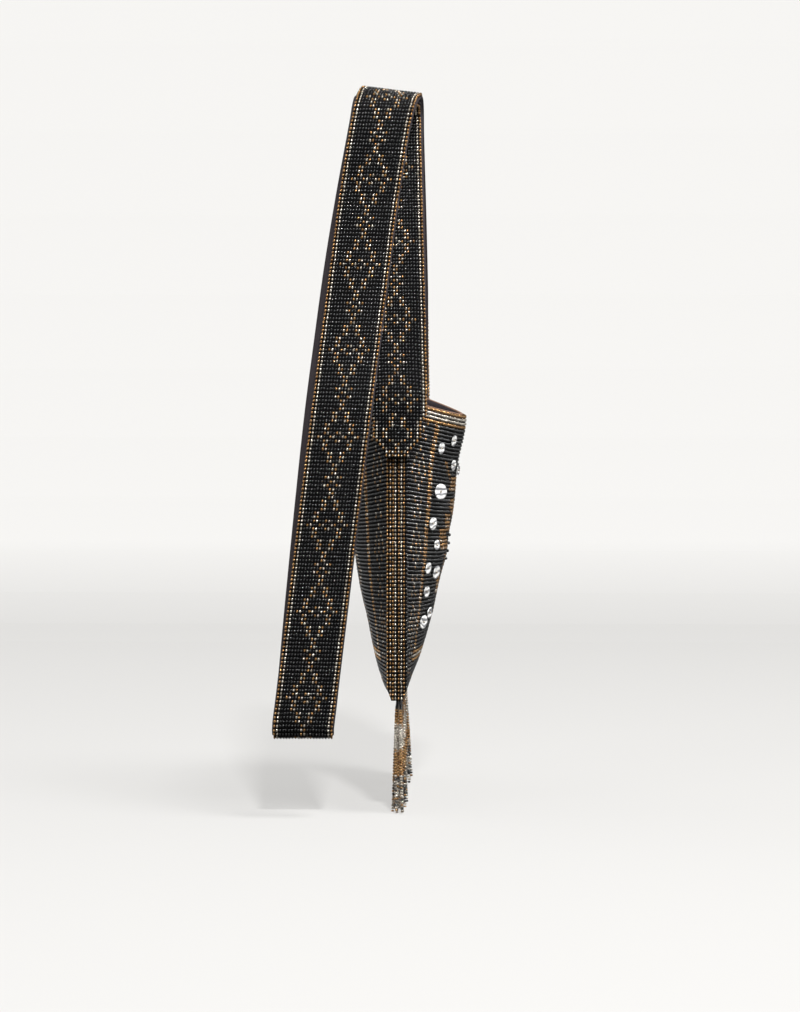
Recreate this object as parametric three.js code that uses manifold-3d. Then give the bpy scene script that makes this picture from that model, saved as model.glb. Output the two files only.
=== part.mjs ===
// Loom-beaded shoulder bag with a fringed lower edge, hanging from a support by its beaded strap.
// Millimetres. X runs across the bag's width, -Y is its front and +Z is up. The origin is the underside
// of the strap's inner bend, where the support carries the bag.
// The strap is one band: it starts sewn over the near side (-X), climbs to the support, bends over it,
// hangs down as a long fold, comes back over its own first bend and ends sewn over the far side (+X).
import * as THREE from 'three';
import { mergeVertices } from 'three/addons/utils/BufferGeometryUtils.js';
import Module from 'manifold-3d';

const wasm = await Module();
wasm.setup();

// Beadwork and cloth
const beadLayer = 2.2;
const clothLayer = 1.0;
const clearance = 0.3;

// Pouch
const pouchWidth = 190;
const pouchHeight = 176.7;
const rimDepth = 183.5;
const rimDip = 10.9;
const pouchOffset = 22;
const gussetWidth = 12.3;
const gussetFlare = 2.4;
const flareStart = 0.8;
const gussetCrease = 1.2;
const sideTuck = 7;
const frontBulge = 34.7;
const backBulge = 27;
const seamRound = 8;
const liningRise = 2;
const bindingHeight = 1.8;
const pastRim = 1.06;

// Fringe
const fringeLength = 67;
const fringeThickness = 3.6;
const fringeHeadThickness = 2.4;
const fringeHeadDepth = 6;
const fringeHeadBelow = 3;
const lockPitch = 7;
const lockGap = 2;
const lockTip = 1.6;

// Strap
const strapWidth = 35.2;
const seamOverlap = 30.7;
const strapRise = 7;
const hookBend = 8.4;
const hookShift = 2;
const frontBend = 14.4;
const archSpan = 24;
const outerFrontBend = 20;
const outerFrontShift = 2.4;
const outerBackBend = 14.4;
const outerBackShift = 4.2;
const bandGap = 2;
const lowerFoldBend = 4.6;
const foldDrop = 379.7;
const foldLean = 0.1212;
const foldStart = 10.6;
const foldTurn = 2;
const seamCup = 6.5;
const bandStep = 15;
const bendStep = 5.2;
const cupChange = 1;
const endSpace = 1;
const strapColumns = [-1, -0.55, 0, 0.55, 1];

// Paillettes on the front
const pailletteSeat = 1.2;
const pailletteRise = 1.0;
const pailletteSides = 8;

// Bulge of the front and back at mid-width, as shares of frontBulge and backBulge
const bulgeTable = [
  { height: 0.0, front: 0.0, back: 0.06 },
  { height: 0.04, front: 0.045, back: 0.19 },
  { height: 0.12, front: 0.205, back: 0.35 },
  { height: 0.27, front: 0.417, back: 0.547 },
  { height: 0.34, front: 0.49, back: 0.655 },
  { height: 0.42, front: 0.575, back: 0.75 },
  { height: 0.5, front: 0.68, back: 0.82 },
  { height: 0.57, front: 0.715, back: 0.865 },
  { height: 0.65, front: 0.79, back: 0.9 },
  { height: 0.72, front: 0.83, back: 0.93 },
  { height: 0.8, front: 0.857, back: 0.95 },
  { height: 0.88, front: 0.897, back: 0.97 },
  { height: 0.95, front: 0.94, back: 0.99 },
  { height: 1.0, front: 0.96, back: 1.0 },
];

// The hanging fold. depth is a share of the way from the support to the rim, below a share of the way
// from the rim to the lower fold. inner and outer are shares of the near side's distance from the support.
// spread moves the inner run out of line with the outer one, as a share of the strap's width.
const foldTable = [
  { depth: 0.33, below: 0.0, inner: 0.62, outer: 0.73, spread: 0.05 },
  { depth: 0.55, below: 0.0, inner: 0.77, outer: 0.88, spread: 0.09 },
  { depth: 0.8, below: 0.0, inner: 0.95, outer: 1.05, spread: 0.1 },
  { depth: 1.0, below: 0.02, inner: 1.11, outer: 1.2, spread: 0.1 },
  { depth: 1.0, below: 0.25, inner: 1.18, outer: 1.27, spread: 0.08 },
  { depth: 1.0, below: 0.6, inner: 1.2, outer: 1.29, spread: 0.04 },
  { depth: 1.0, below: 0.88, inner: 1.19, outer: 1.3, spread: 0.0 },
];

// The strap's bends: shift is a share of its width, and turn and bank are in degrees
const bendTable = {
  hook: { steps: 4, shiftIn: 0.097, shiftOut: 0.136, turnIn: 18, turnOut: 6, bank: 4 },
  front: { steps: 3, shiftIn: 0.22, shiftOut: 0.31, turnIn: 0, turnOut: 0, bank: 6 },
  outerFront: { steps: 3, shiftIn: 0.3, shiftOut: 0.12, turnIn: 0, turnOut: 0, bank: 9 },
  outerBack: { steps: 2, shiftIn: 0.102, shiftOut: 0.091, turnIn: 0, turnOut: 4, bank: 6 },
};

// The two runs between the side seams and the support: along is a share of the run, turn is in degrees
const runTable = [
  { along: 0.0, shift: 0.0, nearTurn: 4, farTurn: 0, cup: 0.8 },
  { along: 0.12, shift: 0.015, nearTurn: 9, farTurn: 0, cup: 0.55 },
  { along: 0.36, shift: 0.03, nearTurn: 13, farTurn: 2, cup: 0.12 },
  { along: 0.66, shift: 0.06, nearTurn: 17, farTurn: 4, cup: 0.05 },
  { along: 0.92, shift: 0.09, nearTurn: 18, farTurn: 4, cup: 0.05 },
];

// Length of each lock of the fringe, as a share of fringeLength, repeated across the bag
const lockTable = [0.98, 1.0, 0.97, 0.99, 0.96, 1.0, 0.98, 0.95, 0.99];

// Paillettes on the near half of the front, mirrored on the far half: across and height are shares
const pailletteTable = [
  { across: 0.435, height: 0.92, radius: 3.6 },
  { across: 0.61, height: 0.885, radius: 3.6 },
  { across: 0.325, height: 0.833, radius: 3.4 },
  { across: 0.11, height: 0.8, radius: 3.2 },
  { across: 0.56, height: 0.73, radius: 4.6 },
  { across: 0.66, height: 0.615, radius: 4.0 },
  { across: 0.545, height: 0.534, radius: 3.2 },
  { across: 0.665, height: 0.448, radius: 3.6 },
  { across: 0.42, height: 0.431, radius: 4.2 },
  { across: 0.555, height: 0.362, radius: 3.4 },
  { across: 0.1, height: 0.276, radius: 3.6 },
  { across: 0.29, height: 0.241, radius: 4.0 },
];

// The strap's narrowed ends: distance from the end as a share of its width, and how wide it is there
const endTable = [
  { along: 0.0, width: 0.5 },
  { along: 0.1, width: 0.58 },
  { along: 0.22, width: 0.74 },
  { along: 0.34, width: 0.86 },
  { along: 0.64, width: 0.89 },
  { along: 0.76, width: 1.0 },
];

const seamHalf = fringeHeadThickness / 2 + clearance + beadLayer;
const gussetHalf = gussetWidth / 2;
const bottomZ = -rimDepth - pouchHeight;

// A smooth curve through one column of a table
function tableValue(table, key, column, at) {
  const last = table.length - 1;
  const clamped = Math.min(Math.max(at, table[0][key]), table[last][key]);
  let i = 0;
  while (i < last - 1 && table[i + 1][key] < clamped) i += 1;
  const slope = (j) => {
    const a = table[Math.max(j - 1, 0)];
    const b = table[Math.min(j + 1, last)];
    return (b[column] - a[column]) / (b[key] - a[key]);
  };
  const width = table[i + 1][key] - table[i][key];
  const s = (clamped - table[i][key]) / width;
  const h1 = s * s * (3 - 2 * s);
  const h2 = s * (1 - s) * (1 - s);
  const h3 = s * s * (s - 1);
  const value = table[i][column] * (1 - h1) + table[i + 1][column] * h1;
  return value + width * (h2 * slope(i) + h3 * slope(i + 1));
}

// Half the pouch's outer width at a height share
function sideHalf(height) {
  return pouchWidth / 2 - sideTuck * Math.min(height, 1) ** 2;
}

// Half the pouch's depth where the panels meet the gussets
function edgeHalf(height) {
  const low = THREE.MathUtils.smoothstep(height * pouchHeight, 0, seamRound);
  const high = THREE.MathUtils.smoothstep(height, flareStart, 1);
  return seamHalf + (gussetHalf - seamHalf) * low + gussetFlare * high;
}

// A point of the pouch, inset from its outer face. side is -1 on the front and 1 on the back
function pouchPoint(side, across, height, inset, sideInset) {
  const x = pouchOffset + across * (sideHalf(height) - sideInset);
  const column = side < 0 ? 'front' : 'back';
  const bulge = (side < 0 ? frontBulge : backBulge) * tableValue(bulgeTable, 'height', column, height);
  const y = side * (edgeHalf(height) + bulge * (1 - across * across) - inset);
  const z = bottomZ + height * (pouchHeight - rimDip * (1 - across * across));
  return new THREE.Vector3(x, y, z);
}

// A closed body through sections. Each section has an outer and an inner row of points
function loft(sections, closed) {
  const size = sections[0].outer.length;
  const loop = 2 * size;
  const positions = [];
  for (const section of sections) {
    for (const p of section.outer) positions.push(p.x, p.y, p.z);
    for (const p of [...section.inner].reverse()) positions.push(p.x, p.y, p.z);
  }
  const index = [];
  const quad = (a, b, c, d) => index.push(a, b, c, a, c, d);
  const count = sections.length;
  for (let i = 0; i < (closed ? count : count - 1); i += 1) {
    const low = i * loop;
    const high = ((i + 1) % count) * loop;
    for (let j = 0; j < loop; j += 1) {
      const k = (j + 1) % loop;
      if (j < size) quad(low + j, low + k, high + k, high + j);
      else quad(low + k, high + k, high + j, low + j);
    }
  }
  const top = (count - 1) * loop;
  for (let j = 0; j < size - 1 && !closed; j += 1) {
    quad(j, loop - 1 - j, loop - 2 - j, j + 1);
    quad(top + j, top + j + 1, top + loop - 2 - j, top + loop - 1 - j);
  }
  const geometry = new THREE.BufferGeometry();
  geometry.setAttribute('position', new THREE.Float32BufferAttribute(positions, 3));
  geometry.setIndex(index);
  return outward(geometry);
}

// Turns a closed geometry's faces outwards
function outward(geometry) {
  const p = geometry.getAttribute('position');
  const index = geometry.getIndex();
  const corner = (i) => new THREE.Vector3().fromBufferAttribute(p, index.getX(i));
  let volume = 0;
  for (let i = 0; i < index.count; i += 3) {
    volume += corner(i).dot(corner(i + 1).cross(corner(i + 2)));
  }
  if (volume < 0) {
    for (let i = 0; i < index.count; i += 3) {
      const swap = index.getX(i + 1);
      index.setX(i + 1, index.getX(i + 2));
      index.setX(i + 2, swap);
    }
  }
  return geometry;
}

function toSolid(source) {
  const geometry = source.clone();
  geometry.deleteAttribute('normal');
  geometry.deleteAttribute('uv');
  const merged = mergeVertices(geometry, 1e-4);
  return new wasm.Manifold(new wasm.Mesh({
    numProp: 3,
    vertProperties: new Float32Array(merged.getAttribute('position').array),
    triVerts: new Uint32Array(merged.getIndex().array),
  }));
}

function toGeometry(solid) {
  const mesh = solid.getMesh();
  const geometry = new THREE.BufferGeometry();
  geometry.setAttribute('position', new THREE.BufferAttribute(new Float32Array(mesh.vertProperties), 3));
  geometry.setIndex(new THREE.BufferAttribute(new Uint32Array(mesh.triVerts), 1));
  return geometry;
}

function shares(count, from = 0, to = 1) {
  return Array.from({ length: count + 1 }, (unused, i) => from + (to - from) * i / count);
}

const panelRows = bulgeTable.map((row) => row.height);
const panelColumns = shares(16, -1, 1);
const wall = beadLayer + clearance;

function panelGeometry(side) {
  const row = (height, inset) => panelColumns.map((across) => pouchPoint(side, across, height, inset, wall));
  return loft(panelRows.map((height) => ({ outer: row(height, 0), inner: row(height, beadLayer) })), false);
}

// The front with its paillettes, each a flat disc set in the beadwork along its normal
function frontPanelGeometry() {
  let solid = toSolid(panelGeometry(-1));
  for (const row of pailletteTable) {
    for (const half of [-1, 1]) {
      const seat = (across, height) => pouchPoint(-1, across, height, 0, wall);
      const at = seat(half * row.across, row.height);
      const alongX = seat(half * row.across + 0.01, row.height).sub(at);
      const alongZ = seat(half * row.across, row.height + 0.01).sub(at);
      const normal = alongX.cross(alongZ).normalize();
      const disc = new THREE.CylinderGeometry(
        row.radius, row.radius, pailletteSeat + pailletteRise, pailletteSides);
      disc.applyQuaternion(new THREE.Quaternion().setFromUnitVectors(new THREE.Vector3(0, 1, 0), normal));
      const centre = at.addScaledVector(normal, (pailletteRise - pailletteSeat) / 2);
      disc.translate(centre.x, centre.y, centre.z);
      solid = solid.add(toSolid(disc));
    }
  }
  return toGeometry(solid);
}

function gussetGeometry(end) {
  const row = (height, inset) => shares(4, -1, 1).map((across) => {
    const crease = gussetCrease * Math.max(0, 1 - 2 * Math.abs(across));
    const x = pouchOffset + end * (sideHalf(height) - inset - crease);
    return new THREE.Vector3(x, across * edgeHalf(height), bottomZ + height * pouchHeight);
  });
  return loft(panelRows.map((height) => ({ outer: row(height, 0), inner: row(height, beadLayer) })), false);
}

// The space inside the pouch, from a height share to another, inset from the beadwork's outer face
function pouchCore(inset, from, to) {
  const rows = [from, ...panelRows.filter((height) => height > from && height < to), to];
  const row = (side, height) => panelColumns.map((across) => (
    pouchPoint(side, across, height, inset, inset + gussetCrease)));
  return toSolid(loft(rows.map((height) => ({ outer: row(-1, height), inner: row(1, height) })), false));
}

function liningGeometry() {
  const outerInset = wall;
  const innerInset = wall + clothLayer;
  const floor = (fringeHeadDepth + clearance + liningRise) / pouchHeight;
  const outer = pouchCore(outerInset, floor, 1);
  const inner = pouchCore(innerInset, floor + clothLayer / pouchHeight, pastRim);
  return toGeometry(outer.subtract(inner));
}

// The edge round the mouth, over the tops of the panels, gussets and lining
function bindingGeometry() {
  const width = wall + clothLayer;
  const ring = [];
  const corner = sideHalf(1) - width - gussetCrease;
  const rimZ = (x) => pouchPoint(1, Math.min(1, Math.abs(x - pouchOffset) / corner), 1, 0, wall).z;
  const lift = (point, up) => point.clone().setZ(rimZ(point.x) + clearance + up);
  const add = (side, across) => {
    const outer = pouchPoint(side, across, 1, 0, clearance);
    const inner = pouchPoint(side, across, 1, width, width);
    ring.push({ outer: [lift(outer, 0), lift(outer, bindingHeight)],
      inner: [lift(inner, 0), lift(inner, bindingHeight)] });
  };
  for (const across of shares(18, -1, 1)) add(-1, across);
  for (const across of shares(18, 1, -1)) add(1, across);
  return loft(ring, true);
}

function fringeGeometry() {
  const half = sideHalf(0) - wall;
  const count = Math.floor((2 * half + lockGap) / lockPitch);
  const left = -(count * lockPitch - lockGap) / 2;
  const width = lockPitch - lockGap;
  const top = bottomZ - clearance;
  const root = top - fringeHeadBelow;
  const comb = new THREE.Shape();
  comb.moveTo(left, top);
  for (let i = 0; i < count; i += 1) {
    const x = left + i * lockPitch;
    const end = bottomZ - fringeLength * lockTable[i % lockTable.length];
    comb.lineTo(x, end + lockTip);
    comb.lineTo(x + lockTip, end);
    comb.lineTo(x + width - lockTip, end);
    comb.lineTo(x + width, end + lockTip);
    if (i < count - 1) {
      comb.lineTo(x + width, root);
      comb.lineTo(x + lockPitch, root);
    }
  }
  comb.lineTo(-left, top);
  const locks = new THREE.ExtrudeGeometry(comb, { depth: fringeThickness, bevelEnabled: false });
  locks.translate(0, 0, -fringeThickness / 2);
  const head = new THREE.BoxGeometry(-2 * left, fringeHeadDepth + fringeHeadBelow, fringeHeadThickness);
  head.translate(0, top + (fringeHeadDepth - fringeHeadBelow) / 2, 0);
  const geometry = toGeometry(toSolid(locks).add(toSolid(head)));
  geometry.rotateX(Math.PI / 2);
  return geometry.translate(pouchOffset, 0, 0);
}

// Places along the strap: x, z, sideways shift, turn and bank in degrees, and cup
function strapStations() {
  const stand = clearance + clothLayer + clearance / 2 + seamCup * strapColumns[3] ** 4;
  const seamX = (end, z) => (
    pouchOffset + end * (sideHalf((z - bottomZ) / pouchHeight) + stand));
  const stations = [];
  const add = (x, z, shift, turn, bank, cup) => stations.push({ x, z, shift, turn, bank, cup });
  const seamZ = [-rimDepth - seamOverlap, -rimDepth - seamOverlap / 2];

  const onBend = (bend, angle) => {
    const a = THREE.MathUtils.degToRad(angle);
    return { x: bend.x + bend.radius * Math.cos(a), z: bend.z + bend.radius * Math.sin(a) };
  };
  const arc = (bend, from, to, row) => {
    shares(row.steps, from, to).forEach((angle, i) => {
      const t = i / row.steps;
      const at = onBend(bend, angle);
      add(at.x, at.z, (row.shiftIn + (row.shiftOut - row.shiftIn) * t) * strapWidth,
        row.turnIn + (row.turnOut - row.turnIn) * t, row.bank, 0);
    });
  };
  // Angle, on a bend, of the point where the straight run to a seam leaves it
  const leave = (bend, start) => {
    const dx = start.x - bend.x;
    const dz = start.z - bend.z;
    return THREE.MathUtils.radToDeg(Math.atan2(dz, dx) + Math.acos(bend.radius / Math.hypot(dx, dz)));
  };
  const run = (from, to, rows, turn) => {
    for (const row of rows) {
      add(from.x + (to.x - from.x) * row.along, from.z + (to.z - from.z) * row.along,
        row.shift * strapWidth, row[turn], 0, row.cup * seamCup);
    }
  };

  // Near run, from its rounded end up to the support
  const innerTop = beadLayer + clearance / 2;
  const hook = { x: hookShift, z: innerTop - hookBend, radius: hookBend };
  const nearStart = { x: seamX(-1, -rimDepth), z: -rimDepth + strapRise };
  const nearAngle = leave(hook, nearStart);
  for (const z of seamZ) add(seamX(-1, z), z, 0, 0, 0, seamCup);
  run(nearStart, onBend(hook, nearAngle), runTable, 'nearTurn');
  // Over the support
  arc(hook, nearAngle, 90, bendTable.hook);
  const front = { x: hook.x - archSpan, z: innerTop - frontBend, radius: frontBend };
  arc(front, 90, 180, bendTable.front);
  // Down, round the lower fold and up
  const reach = -nearStart.x;
  const foldZ = (row) => -(row.depth * rimDepth + row.below * (foldDrop - rimDepth));
  const lean = (z) => foldStart - foldLean * z;
  for (const row of foldTable) {
    add(-row.inner * reach, foldZ(row), lean(foldZ(row)) + row.spread * strapWidth, foldTurn, 0, 0);
  }
  const lowest = foldTable[foldTable.length - 1];
  const fold = {
    x: -(lowest.inner + lowest.outer) / 2 * reach,
    z: lowerFoldBend - foldDrop,
    radius: lowerFoldBend,
  };
  const foldShift = lean(fold.z) / strapWidth;
  const foldRow = { steps: 4, shiftIn: foldShift, shiftOut: foldShift, turnIn: 0, turnOut: 0, bank: 0 };
  arc(fold, 0, -180, foldRow);
  for (const row of [...foldTable].reverse()) add(-row.outer * reach, foldZ(row), lean(foldZ(row)), 0, 0, 0);
  // Over the first bend and down to the far side
  const outerTop = innerTop + 2 * clothLayer + clearance + bandGap;
  const outerFront = { x: front.x - outerFrontShift, z: outerTop - outerFrontBend, radius: outerFrontBend };
  arc(outerFront, 180, 90, bendTable.outerFront);
  const back = { x: hook.x + outerBackShift, z: outerTop - outerBackBend, radius: outerBackBend };
  const farStart = { x: seamX(1, -rimDepth), z: -rimDepth + strapRise };
  const farAngle = leave(back, farStart);
  arc(back, 90, farAngle, bendTable.outerBack);
  run(farStart, onBend(back, farAngle), [...runTable].reverse(), 'farTurn');
  for (const z of [...seamZ].reverse()) add(seamX(1, z), z, 0, 0, 0, seamCup);
  return stations;
}

// Sections of the strap: place, tangent, direction across and outward normal at every step
function strapFrames() {
  const stations = strapStations();
  const points = stations.map((s) => new THREE.Vector3(s.x, s.shift, s.z));
  const curve = new THREE.CatmullRomCurve3(points, false, 'centripetal');
  const last = points.length - 1;
  const frames = [];
  let travelled = 0;
  for (let i = 0; i < last; i += 1) {
    const length = points[i].distanceTo(points[i + 1]);
    const flexed = length < bandStep / 1.5 || Math.abs(stations[i].cup - stations[i + 1].cup) > cupChange;
    const step = flexed ? bendStep : bandStep;
    const steps = Math.max(1, Math.round(length / step));
    for (let k = 0; k < steps + (i === last - 1 ? 1 : 0); k += 1) {
      const s = k / steps;
      const at = curve.getPoint((i + s) / last);
      const tangent = curve.getTangent((i + s) / last);
      const mix = (key) => stations[i][key] * (1 - s) + stations[i + 1][key] * s;
      const turn = THREE.MathUtils.degToRad(mix('turn'));
      const bank = THREE.MathUtils.degToRad(mix('bank'));
      const across = new THREE.Vector3(Math.sin(turn), Math.cos(turn), Math.tan(bank));
      across.addScaledVector(tangent, -across.dot(tangent)).normalize();
      const normal = new THREE.Vector3().crossVectors(tangent, across);
      if (frames.length) travelled += frames[frames.length - 1].at.distanceTo(at);
      frames.push({ at, across, normal, cup: mix('cup'), travelled });
    }
  }
  return { frames, total: travelled };
}

const strap = strapFrames();

// One layer of the strap, between two distances from the band's middle, its ends narrowed
function strapGeometry(low, high) {
  const half = strapWidth / 2;
  const endLength = endTable[endTable.length - 1].along * strapWidth;
  const sections = [];
  const add = (frame, width) => {
    const row = (off) => strapColumns.map((u) => (
      frame.at.clone()
        .addScaledVector(frame.across, u * width)
        .addScaledVector(frame.normal, off - frame.cup * (u * width / half) ** 4)));
    sections.push({ outer: row(high), inner: row(low) });
  };
  const between = (a, b, t) => ({
    at: a.at.clone().lerp(b.at, t),
    across: a.across.clone().lerp(b.across, t).normalize(),
    normal: a.normal.clone().lerp(b.normal, t).normalize(),
    cup: a.cup + (b.cup - a.cup) * t,
  });
  const frameAt = (distance) => {
    let i = 0;
    while (i < strap.frames.length - 2 && strap.frames[i + 1].travelled < distance) i += 1;
    const a = strap.frames[i];
    const b = strap.frames[i + 1];
    return between(a, b, (distance - a.travelled) / (b.travelled - a.travelled));
  };
  for (const row of endTable) add(frameAt(row.along * strapWidth), half * row.width);
  for (const frame of strap.frames) {
    const toEnd = Math.min(frame.travelled, strap.total - frame.travelled);
    if (toEnd > endLength + endSpace) add(frame, half);
  }
  for (const row of [...endTable].reverse()) {
    add(frameAt(strap.total - row.along * strapWidth), half * row.width);
  }
  return loft(sections, false);
}

const beadBlack = { color: 0x141416, roughness: 0.25, metalness: 0.0 };
const clothPlum = { color: 0x2b2426, roughness: 0.9, metalness: 0.0 };
const threadBrown = { color: 0x5a3d34, roughness: 0.8, metalness: 0.0 };
const beadBronze = { color: 0xa87a45, roughness: 0.3, metalness: 0.6 };

const group = new THREE.Group();

function addPart(name, geometry, finish) {
  const mesh = new THREE.Mesh(geometry, new THREE.MeshStandardMaterial(finish));
  mesh.name = name;
  group.add(mesh);
}

const middle = clearance / 2;
addPart('strap_beadwork', strapGeometry(middle, middle + beadLayer), beadBlack);
addPart('strap_lining', strapGeometry(-middle - clothLayer, -middle), clothPlum);
addPart('front_panel', frontPanelGeometry(), beadBlack);
addPart('back_panel', panelGeometry(1), beadBlack);
addPart('side_gusset_near', gussetGeometry(-1), beadBronze);
addPart('side_gusset_far', gussetGeometry(1), beadBronze);
addPart('pouch_lining', liningGeometry(), clothPlum);
addPart('mouth_binding', bindingGeometry(), threadBrown);
addPart('fringe', fringeGeometry(), beadBronze);

export default group;
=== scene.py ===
# Loom-beaded shoulder bag with a fringe, hanging from its strap. Lengths are in millimetres.
import bpy
import bmesh
import math
import numpy as np
from mathutils import Matrix


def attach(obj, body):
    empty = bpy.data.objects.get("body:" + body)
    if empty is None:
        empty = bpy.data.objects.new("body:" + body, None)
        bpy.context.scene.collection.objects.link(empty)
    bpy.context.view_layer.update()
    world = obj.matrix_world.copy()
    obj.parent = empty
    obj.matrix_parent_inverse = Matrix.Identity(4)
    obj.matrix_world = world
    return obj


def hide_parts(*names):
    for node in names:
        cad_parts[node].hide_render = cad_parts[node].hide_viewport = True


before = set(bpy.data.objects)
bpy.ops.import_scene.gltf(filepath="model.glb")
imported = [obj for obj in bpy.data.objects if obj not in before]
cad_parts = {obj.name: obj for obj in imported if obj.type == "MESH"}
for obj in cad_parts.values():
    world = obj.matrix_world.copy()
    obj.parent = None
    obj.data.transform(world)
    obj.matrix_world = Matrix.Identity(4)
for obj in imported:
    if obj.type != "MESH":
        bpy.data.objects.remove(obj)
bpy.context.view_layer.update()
mm = 0.001
dice = np.random.default_rng(11)
print("frame loaded")


# Camera, floor and light

view = {"target": (-73.0, -1.8, -242.6), "azimuth": -89.0, "elevation": 3.4, "distance": 2140.0,
        "sensor": 24.0, "lens": 84.59}


def placeCamera():
    azimuth = math.radians(view["azimuth"])
    elevation = math.radians(view["elevation"])
    back = np.array([math.sin(azimuth) * math.cos(elevation), -math.cos(azimuth) * math.cos(elevation),
                     math.sin(elevation)])
    right = np.array([math.cos(azimuth), math.sin(azimuth), 0.0])
    up = np.cross(back, right)
    place = (np.array(view["target"]) + view["distance"] * back) * mm
    data = bpy.data.cameras.new("photoCamera")
    data.sensor_fit = "VERTICAL"
    data.sensor_height = view["sensor"]
    data.lens = view["lens"]
    data.clip_end = 50.0
    camera = bpy.data.objects.new("photoCamera", data)
    camera.matrix_world = Matrix([[right[i], up[i], back[i], place[i]] for i in range(3)] + [[0, 0, 0, 1]])
    bpy.context.collection.objects.link(camera)
    bpy.context.scene.camera = camera


placeCamera()


class Wire:  # a shader socket, so that shader maths is written as plain expressions
    def __init__(self, recipe, socket):
        self.recipe = recipe
        self.socket = socket

    def join(self, operation, first, second):
        return self.recipe.node("ShaderNodeMath", {"operation": operation}, {0: first, 1: second})

    def __add__(self, other):
        return self.join("ADD", self, other)

    def __radd__(self, other):
        return self.join("ADD", other, self)

    def __sub__(self, other):
        return self.join("SUBTRACT", self, other)

    def __rsub__(self, other):
        return self.join("SUBTRACT", other, self)

    def __mul__(self, other):
        return self.join("MULTIPLY", self, other)

    def __rmul__(self, other):
        return self.join("MULTIPLY", other, self)


class Recipe:  # one material and its nodes
    def __init__(self, name):
        self.material = bpy.data.materials.new(name)
        self.material.use_nodes = True
        self.tree = self.material.node_tree
        self.tree.nodes.clear()

    def node(self, kind, settings=None, inputs=None, output=0):
        made = self.tree.nodes.new(kind)
        for key, value in (settings or {}).items():
            setattr(made, key, value)
        for key, value in (inputs or {}).items():
            if isinstance(value, Wire):
                self.tree.links.new(value.socket, made.inputs[key])
            else:
                made.inputs[key].default_value = value
        return Wire(self, made.outputs[output]) if made.outputs else None

    def mix(self, share, first, second):
        return self.node("ShaderNodeMix", {"data_type": "RGBA"}, {0: share, 6: first, 7: second}, 2)

    def finish(self, inputs):
        surface = self.node("ShaderNodeBsdfPrincipled", None, inputs)
        self.node("ShaderNodeOutputMaterial", None, {"Surface": surface})
        return self.material


# the paper glows a little more from glowFrom up to glowTo, so that the floor keeps its shadow
studio = {"floor": -429.5, "front": -5000.0, "wall": 1800.0, "bend": 800.0, "steps": 12, "high": 3500.0,
          "reach": 5000.0, "colour": (0.2, 0.198, 0.194, 1.0), "glow": (0.98, 0.97, 0.95, 1.0),
          "glowLow": 0.52, "glowHigh": 0.69, "glowFrom": -424.5, "glowTo": -360.0,
          "world": (1.0, 0.99, 0.97, 1.0), "worldStrength": 0.1}


def makeStudio():
    paint = Recipe("palePaper")
    level = paint.node("ShaderNodeSeparateXYZ", None, {0: paint.node("ShaderNodeTexCoord", None, None, 3)}, 2)
    glow = paint.node("ShaderNodeMapRange", None, {
        0: level, 1: studio["glowFrom"] * mm, 2: studio["glowTo"] * mm,
        3: studio["glowLow"], 4: studio["glowHigh"]})
    paper = paint.finish({"Base Color": studio["colour"], "Roughness": 0.9, "Specular IOR Level": 0.0,
                          "Emission Color": paint.mix(glow, (0, 0, 0, 1), studio["glow"]),
                          "Emission Strength": 1.0})
    bm = bmesh.new()
    low, bend = studio["floor"], studio["bend"]
    turns = [math.radians(90 * k / studio["steps"]) for k in range(studio["steps"] + 1)]
    side = [(studio["front"], low)]
    side += [(studio["wall"] - bend + bend * math.sin(a), low + bend - bend * math.cos(a)) for a in turns]
    side += [(studio["wall"], studio["high"])]
    verts = [bm.verts.new((x * mm, -studio["reach"] * mm, z * mm)) for x, z in side]
    edges = [bm.edges.new(pair) for pair in zip(verts[:-1], verts[1:])]
    swept = bmesh.ops.extrude_edge_only(bm, edges=edges)["geom"]
    moved = [item for item in swept if isinstance(item, bmesh.types.BMVert)]
    bmesh.ops.translate(bm, verts=moved, vec=(0, 2 * studio["reach"] * mm, 0))
    bmesh.ops.recalc_face_normals(bm, faces=bm.faces)
    mesh = bpy.data.meshes.new("studioFloor")
    bm.to_mesh(mesh)
    bm.free()
    floor = bpy.data.objects.new("studioFloor", mesh)
    floor.data.materials.append(paper)
    bpy.context.collection.objects.link(floor)
    floor.visible_glossy = False  # the beads reflect the lamps only
    world = bpy.data.worlds.new("softWorld")
    world.use_nodes = True
    light = world.node_tree.nodes["Background"]
    light.inputs["Color"].default_value = studio["world"]
    light.inputs["Strength"].default_value = studio["worldStrength"]
    bpy.context.scene.world = world
    bpy.context.scene.view_settings.view_transform = "Standard"


lamps = [
    {"name": "keyLamp", "place": (-450, -650, 1650), "size": 600, "power": 34},
    {"name": "frontLamp", "place": (-1500, -250, 1350), "size": 160, "power": 50},
    {"name": "fillLamp", "place": (-1300, 1600, 500), "size": 900, "power": 8},
    {"name": "sideLamp", "place": (-700, -1800, 350), "size": 900, "power": 6},
    {"name": "leftPanel", "place": (500, 1700, 0), "size": 2000, "power": 20},
    {"name": "rightPanel", "place": (500, -1700, 0), "size": 2000, "power": 9},
]
aim = np.array([0.0, 0.0, -220.0])  # the lamps all point at the middle of the bag


def makeLamps():
    for lamp in lamps:
        data = bpy.data.lights.new(lamp["name"], "AREA")
        data.size = lamp["size"] * mm
        data.energy = lamp["power"]
        body = bpy.data.objects.new(lamp["name"], data)
        back = np.array(lamp["place"], float) - aim
        back /= np.linalg.norm(back)
        right = np.cross((0, 1, 0.1), back)
        right /= np.linalg.norm(right)
        up = np.cross(back, right)
        place = np.array(lamp["place"]) * mm
        body.matrix_world = Matrix([[right[i], up[i], back[i], place[i]] for i in range(3)] + [[0, 0, 0, 1]])
        bpy.context.collection.objects.link(body)


makeStudio()
makeLamps()
print("studio ready")


# Finishes

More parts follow.
